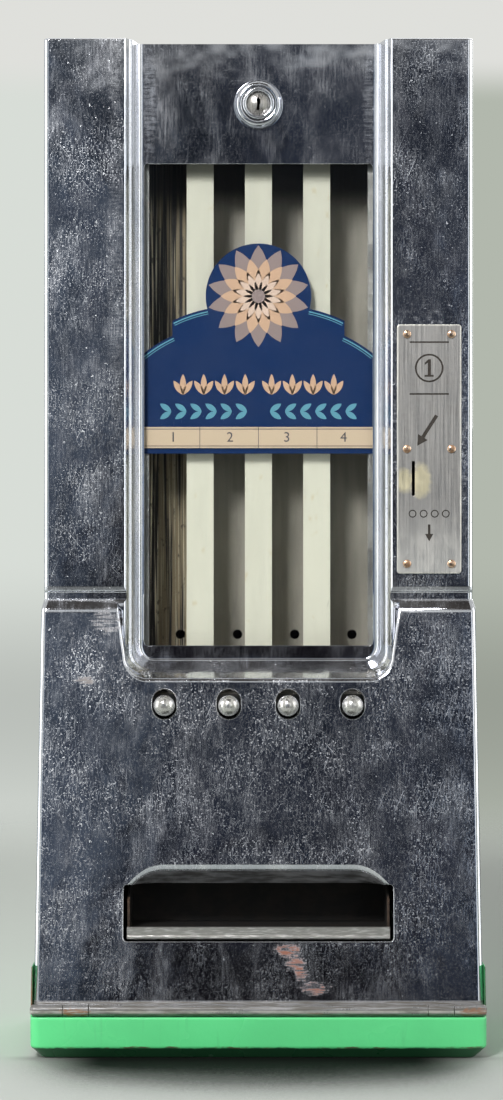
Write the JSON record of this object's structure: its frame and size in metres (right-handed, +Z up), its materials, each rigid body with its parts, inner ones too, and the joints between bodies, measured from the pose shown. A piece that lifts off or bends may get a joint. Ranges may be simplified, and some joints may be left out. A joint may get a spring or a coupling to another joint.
{
  "type": "gum vending machine",
  "caption": "Counter-top gum vending machine with a chrome front, a window onto packet columns, pull knobs, a coin plate and a delivery tray on a green base.",
  "frame": {"origin": "on the ground, under the middle of the base", "axes": "+X to the right of a person facing the front, +Y from the front into the machine, +Z up"},
  "size_m": [0.25, 0.15, 0.565],
  "materials": {
    "chrome": "worn polished plate, pitted and scratched",
    "nickel": "worn nickel plate, yellowed round the slot",
    "green_enamel": "gloss enamel with small chips",
    "steel": "plain, a little tarnished",
    "brass": "tarnished",
    "cream_paint": "satin, aged",
    "brown_metal": "dull, streaked",
    "tray_metal": "dull, worn at the lip",
    "glass": "clear",
    "blue_card": "printed card, matte",
    "cream_card": "printed card, matte"
  },
  "bodies": {
    "cabinet": {"base": "green_enamel", "base_knuckle_left": "steel", "base_knuckle_right": "steel", "hinge_rod": "steel", "cabinet_shell": "green_enamel", "corner_angle_left": "steel", "corner_angle_right": "steel", "lock_catch": "steel", "coin_chute": "steel", "coin_box": "steel", "magazine_shell": "brown_metal", "divider_1": "cream_paint", "divider_2": "cream_paint", "divider_3": "cream_paint", "slide_bed": "steel", "bed_cheek_left": "steel", "bed_cheek_right": "steel", "spring_rod": "steel", "spring_1": "steel", "spring_2": "steel", "spring_3": "steel", "spring_4": "steel", "delivery_tray": "tray_metal"},
    "door": {"front_cover": "chrome", "door_bead_left": "chrome", "door_bead_middle": "chrome", "door_bead_right": "chrome", "coin_plate": "nickel", "coin_plate_screw_1": "brass", "coin_plate_screw_2": "brass", "coin_plate_screw_3": "brass", "coin_plate_screw_4": "brass", "coin_plate_screw_5": "brass", "coin_plate_screw_6": "brass", "coin_throat": "steel", "window_glass": "glass", "glass_frame": "steel", "glass_retainer_left": "steel", "glass_retainer_right": "steel", "sign_card": "blue_card", "number_strip": "cream_card", "lock_collar": "chrome", "lock_barrel": "chrome", "lock_nut": "steel"},
    "lock": {"lock_plug": "chrome", "lock_cam": "steel", "cam_screw": "steel"},
    "plunger_1": {"knob_1": "chrome", "slide_1": "steel"},
    "plunger_2": {"knob_2": "chrome", "slide_2": "steel"},
    "plunger_3": {"knob_3": "chrome", "slide_3": "steel"},
    "plunger_4": {"knob_4": "chrome", "slide_4": "steel"},
    "coin_lock": {"lock_bar": "steel", "coin_lever": "brass"}
  },
  "joints": [
    {"name": "door_hinge", "type": "hinge", "parent": "cabinet", "child": "door", "pos_m": [0, -0.071, 0.0263], "axis": [1, 0, 0], "range_deg": [0, 90]},
    {"name": "lock_turn", "type": "hinge", "parent": "door", "child": "lock", "pos_m": [0, -0.015, 0.5305], "axis": [0, -1, 0], "range_deg": [0, 90]},
    {"name": "coin_lock_rock", "type": "hinge", "parent": "cabinet", "child": "coin_lock", "pos_m": [0, 0.055, 0.176], "axis": [-1, 0, 0], "range_deg": [0, 18]},
    {"name": "plunger_1_pull", "type": "slide", "parent": "cabinet", "child": "plunger_1", "axis": [0, -1, 0], "range_m": [0, 0.028], "stiffness_N_per_m": 60, "springref_m": -0.01, "deforming": ["spring_1"]},
    {"name": "plunger_2_pull", "type": "slide", "parent": "cabinet", "child": "plunger_2", "axis": [0, -1, 0], "range_m": [0, 0.028], "stiffness_N_per_m": 60, "springref_m": -0.01, "deforming": ["spring_2"]},
    {"name": "plunger_3_pull", "type": "slide", "parent": "cabinet", "child": "plunger_3", "axis": [0, -1, 0], "range_m": [0, 0.028], "stiffness_N_per_m": 60, "springref_m": -0.01, "deforming": ["spring_3"]},
    {"name": "plunger_4_pull", "type": "slide", "parent": "cabinet", "child": "plunger_4", "axis": [0, -1, 0], "range_m": [0, 0.028], "stiffness_N_per_m": 60, "springref_m": -0.01, "deforming": ["spring_4"]}
  ]
}
